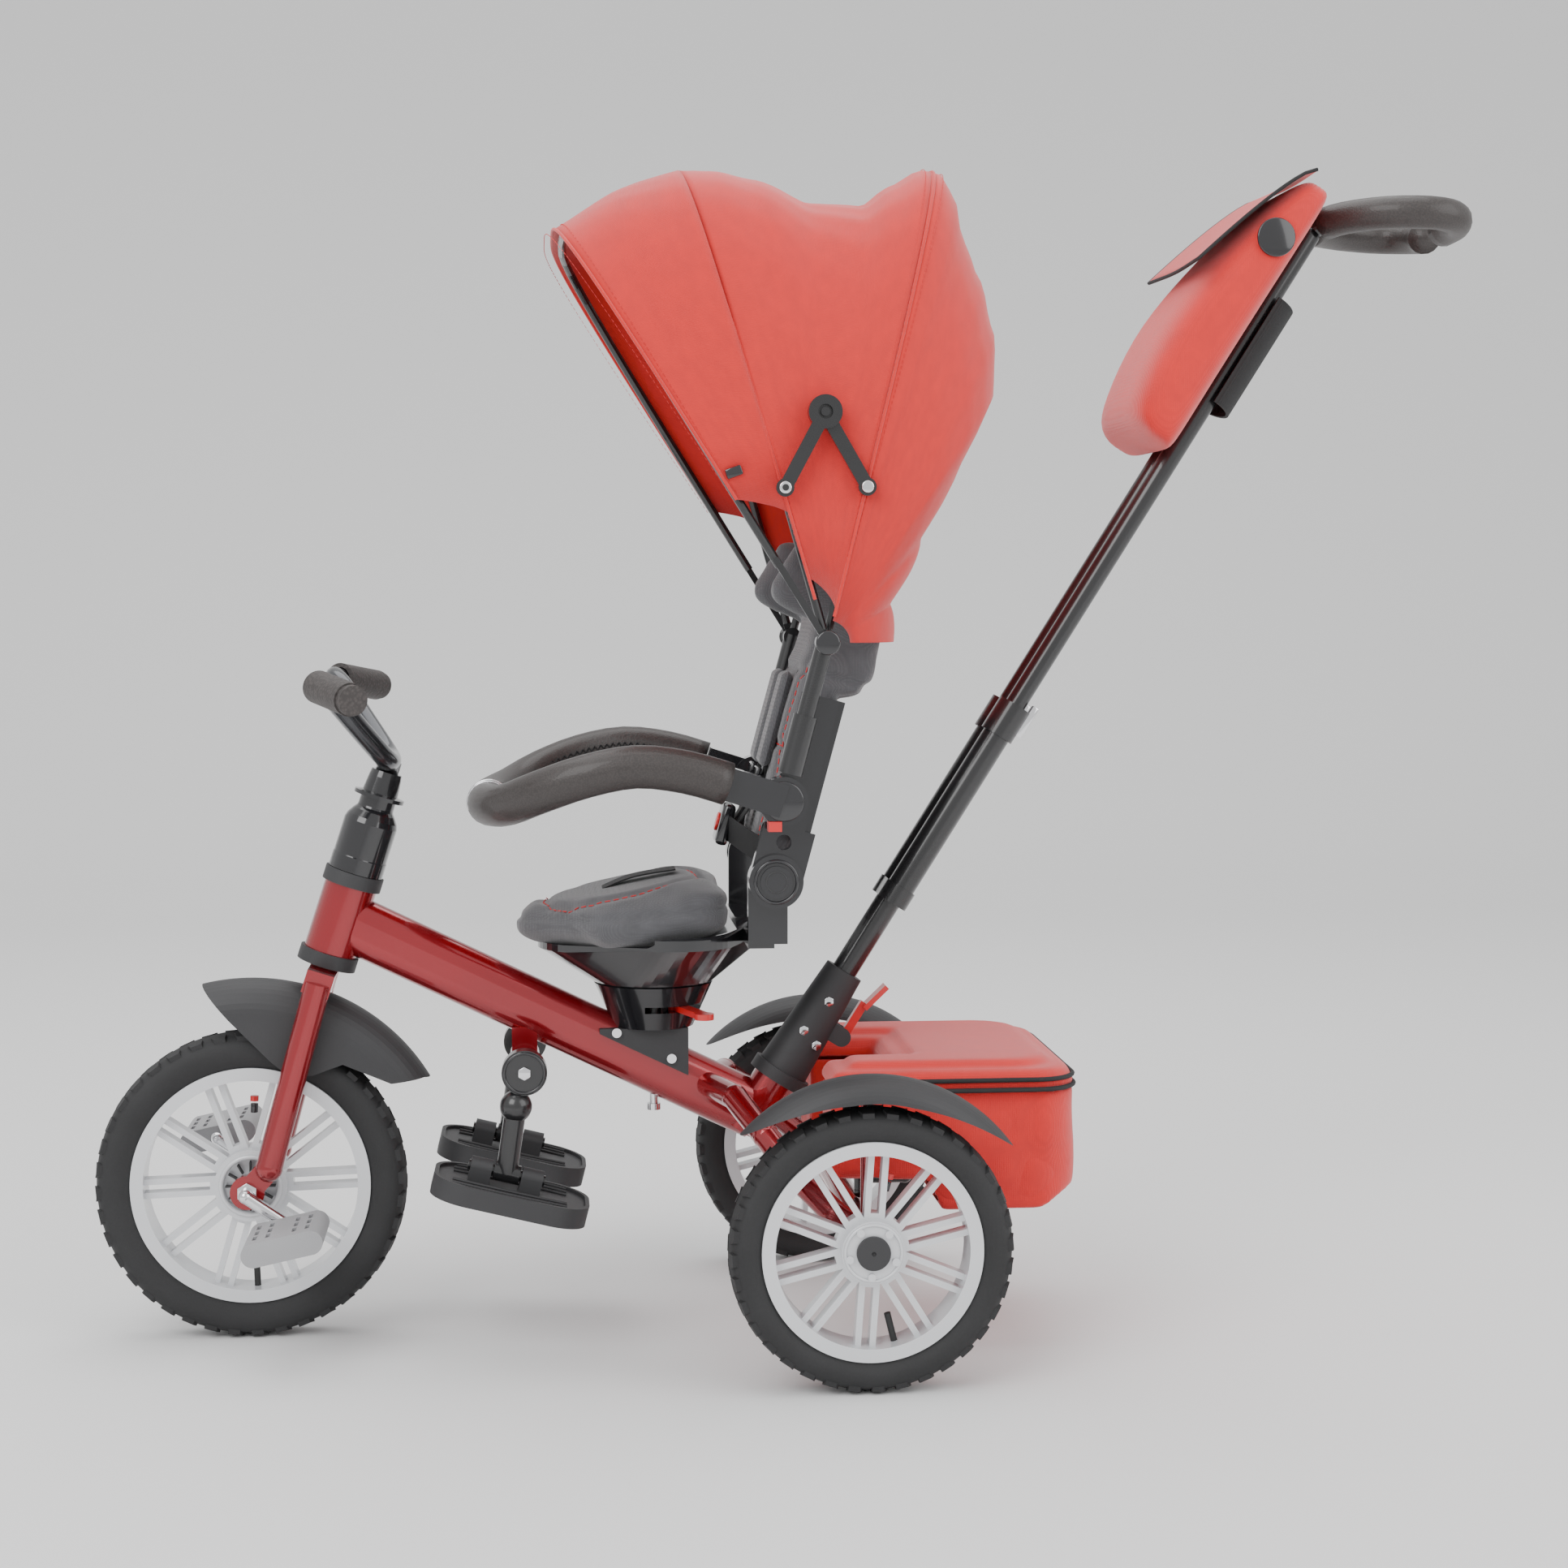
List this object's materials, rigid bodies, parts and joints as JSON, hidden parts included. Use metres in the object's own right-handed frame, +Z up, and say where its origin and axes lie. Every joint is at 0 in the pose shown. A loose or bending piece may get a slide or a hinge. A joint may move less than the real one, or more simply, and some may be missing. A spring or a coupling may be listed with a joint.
{
  "type": "children's tricycle",
  "caption": "Pedal tricycle with steerable push pole, swivel padded seat, safety bar, folding footrest, hinged fabric canopy and rear basket bag.",
  "frame": {"origin": "on the ground straight below the front axle, in the middle plane", "axes": "+X to the rear, +Z up, +Y to the right-hand side seen from behind"},
  "size_m": [1.3009, 0.524, 1.0933],
  "materials": {
    "frame_red": "deep red candy paint",
    "black_metal": "gloss black paint",
    "gloss_black": "gloss black moulding",
    "matte_black": "matte dark plastic",
    "tyre": "black rubber",
    "tube_rubber": "black rubber",
    "rim_silver": "silver white paint",
    "chrome": "bright plated steel",
    "red_fabric": "coral red woven cloth",
    "grey_fabric": "dark grey padded cloth",
    "grip_rubber": "textured dark rubber",
    "pedal_grey": "light grey plastic",
    "red_plastic": "bright red plastic"
  },
  "bodies": {
    "frame": {"frame": "frame_red", "headset_cups": "matte_black", "rear_axle": "chrome", "rear_fender_left": "matte_black", "rear_fender_right": "matte_black", "basket_carrier": "black_metal", "basket_bag": "red_fabric", "seat_clamp": "matte_black", "swivel_base": "gloss_black", "frame_bolts": "chrome"},
    "basket_flap": {"basket_lid": "red_fabric"},
    "steering": {"fork": "frame_red", "fork_sleeve": "gloss_black", "sleeve_cap": "gloss_black", "handlebar": "black_metal", "grips": "grip_rubber", "front_fender": "matte_black"},
    "front_wheel": {"front_tyre": "tyre", "front_tube": "tube_rubber", "front_rim": "rim_silver", "crank": "chrome"},
    "left_pedal": {"pedal_left": "pedal_grey"},
    "right_pedal": {"pedal_right": "pedal_grey"},
    "rear_wheel_left": {"rear_tyre_left": "tyre", "rear_tube_left": "tube_rubber", "rear_rim_left": "rim_silver", "hub_cap_left": "matte_black"},
    "rear_wheel_right": {"rear_tyre_right": "tyre", "rear_tube_right": "tube_rubber", "rear_rim_right": "rim_silver", "hub_cap_right": "matte_black"},
    "footrest": {"footrest_arm": "black_metal"},
    "left_board": {"foot_board_left": "matte_black"},
    "right_board": {"foot_board_right": "matte_black"},
    "seat_lock": {"swivel_lever": "red_plastic"},
    "seat": {"seat_shell": "gloss_black", "seat_pad": "grey_fabric"},
    "backrest": {"back_shell": "gloss_black", "back_pad": "grey_fabric", "canopy_poles": "black_metal", "rear_bow": "black_metal", "canopy_rear": "red_fabric"},
    "left_button": {"recline_button_left": "gloss_black"},
    "right_button": {"recline_button_right": "gloss_black"},
    "guard": {"guard_bar": "grip_rubber", "guard_brackets": "gloss_black"},
    "left_tab": {"guard_tab_left": "red_plastic"},
    "right_tab": {"guard_tab_right": "red_plastic"},
    "canopy_front": {"front_bow": "black_metal", "canopy_middle": "red_fabric"},
    "visor": {"visor_bow": "black_metal", "visor_cover": "red_fabric"},
    "front_stretcher": {"stretcher_front": "black_metal"},
    "rear_stretcher": {"stretcher_rear": "black_metal"},
    "pole": {"pole_socket": "gloss_black", "lower_pole": "black_metal"},
    "pole_latch": {"pole_lever": "red_plastic"},
    "pole_upper": {"upper_tubes": "black_metal", "handle_grips": "grip_rubber", "pouch": "red_fabric"}
  },
  "joints": [
    {"name": "steering", "type": "hinge", "parent": "frame", "child": "steering", "pos_m": [0.004, 0, 0.146], "axis": [0.309, 0, 0.9511], "range_deg": [-35, 35]},
    {"name": "front_wheel_spin", "type": "hinge", "parent": "steering", "child": "front_wheel", "pos_m": [0, 0, 0.146], "axis": [0, 1, 0], "continuous": true},
    {"name": "left_pedal_spin", "type": "hinge", "parent": "front_wheel", "child": "left_pedal", "pos_m": [0.04096, -0.065, 0.11732], "axis": [0, 1, 0], "continuous": true},
    {"name": "right_pedal_spin", "type": "hinge", "parent": "front_wheel", "child": "right_pedal", "pos_m": [-0.04096, 0.065, 0.17468], "axis": [0, 1, 0], "continuous": true},
    {"name": "rear_left_spin", "type": "hinge", "parent": "frame", "child": "rear_wheel_left", "pos_m": [0.562, -0.232, 0.127], "axis": [0, 1, 0], "continuous": true},
    {"name": "rear_right_spin", "type": "hinge", "parent": "frame", "child": "rear_wheel_right", "pos_m": [0.562, 0.232, 0.127], "axis": [0, 1, 0], "continuous": true},
    {"name": "footrest_fold", "type": "hinge", "parent": "frame", "child": "footrest", "pos_m": [0.258, 0, 0.26252], "axis": [0, -1, 0], "range_deg": [0, 45]},
    {"name": "left_board_fold", "type": "hinge", "parent": "footrest", "child": "left_board", "pos_m": [0.241, -0.086, 0.16852], "axis": [-0.9703, 0, 0.2419], "range_deg": [0, 80]},
    {"name": "right_board_fold", "type": "hinge", "parent": "footrest", "child": "right_board", "pos_m": [0.241, 0.086, 0.16852], "axis": [0.9703, 0, -0.2419], "range_deg": [0, 80]},
    {"name": "seat_swivel", "type": "hinge", "parent": "frame", "child": "seat", "pos_m": [0.381, 0, 0.33321], "axis": [0, 0, 1], "range_deg": [0, 180]},
    {"name": "swivel_unlock", "type": "hinge", "parent": "frame", "child": "seat_lock", "pos_m": [0.402, -0.022, 0.31121], "axis": [0, 0, 1], "range_deg": [0, 15], "stiffness_Nm_per_rad": 0.5},
    {"name": "backrest_recline", "type": "hinge", "parent": "seat", "child": "backrest", "pos_m": [0.486, 0, 0.44321], "axis": [0, 1, 0], "range_deg": [-8, 9]},
    {"name": "left_button_press", "type": "slide", "parent": "backrest", "child": "left_button", "axis": [0, 1, 0], "range_m": [0, 0.004], "stiffness_N_per_m": 300},
    {"name": "right_button_press", "type": "slide", "parent": "backrest", "child": "right_button", "axis": [0, -1, 0], "range_m": [0, 0.004], "stiffness_N_per_m": 300},
    {"name": "guard_lift", "type": "hinge", "parent": "backrest", "child": "guard", "pos_m": [0.49137, 0, 0.51735], "axis": [0, 1, 0], "range_deg": [0, 27]},
    {"name": "left_tab_press", "type": "slide", "parent": "guard", "child": "left_tab", "axis": [0, 1, 0], "range_m": [0, 0.0015], "stiffness_N_per_m": 200},
    {"name": "right_tab_press", "type": "slide", "parent": "guard", "child": "right_tab", "axis": [0, -1, 0], "range_m": [0, 0.0015], "stiffness_N_per_m": 200},
    {"name": "canopy_fold", "type": "hinge", "parent": "backrest", "child": "canopy_front", "pos_m": [0.52942, 0, 0.65934], "axis": [0, 1, 0], "range_deg": [0, 25], "deforming": ["canopy_middle"]},
    {"name": "visor_fold", "type": "hinge", "parent": "canopy_front", "child": "visor", "pos_m": [0.52942, 0, 0.65934], "axis": [0, 1, 0], "range_deg": [0, 10], "deforming": ["visor_cover"]},
    {"name": "front_stretcher_fold", "type": "hinge", "parent": "canopy_front", "child": "front_stretcher", "pos_m": [0.49028, 0, 0.79584], "axis": [0, 1, 0], "range_deg": [-37, 0]},
    {"name": "rear_stretcher_fold", "type": "hinge", "parent": "backrest", "child": "rear_stretcher", "pos_m": [0.56377, 0, 0.79712], "axis": [0, 1, 0], "range_deg": [0, 37]},
    {"name": "pole_turn", "type": "hinge", "parent": "frame", "child": "pole", "pos_m": [0.48, 0, 0.205], "axis": [0.5329, 0, 0.8462], "range_deg": [-35, 35]},
    {"name": "pole_telescope", "type": "slide", "parent": "pole", "child": "pole_upper", "axis": [0.5329, 0, 0.8462], "range_m": [-0.12, 0]},
    {"name": "pole_release", "type": "hinge", "parent": "pole", "child": "pole_latch", "pos_m": [0.56165, 0, 0.27648], "axis": [0, 1, 0], "range_deg": [0, 18]},
    {"name": "basket_open", "type": "hinge", "parent": "frame", "child": "basket_flap", "pos_m": [0.536, 0, 0.246], "axis": [0, -1, 0], "range_deg": [0, 12]}
  ],
  "couplings": [
    {"joint": "pole_turn", "follows": "steering", "ratio": 1},
    {"joint": "front_stretcher_fold", "follows": "canopy_fold", "ratio": -1.476},
    {"joint": "rear_stretcher_fold", "follows": "canopy_fold", "ratio": 1.476}
  ]
}
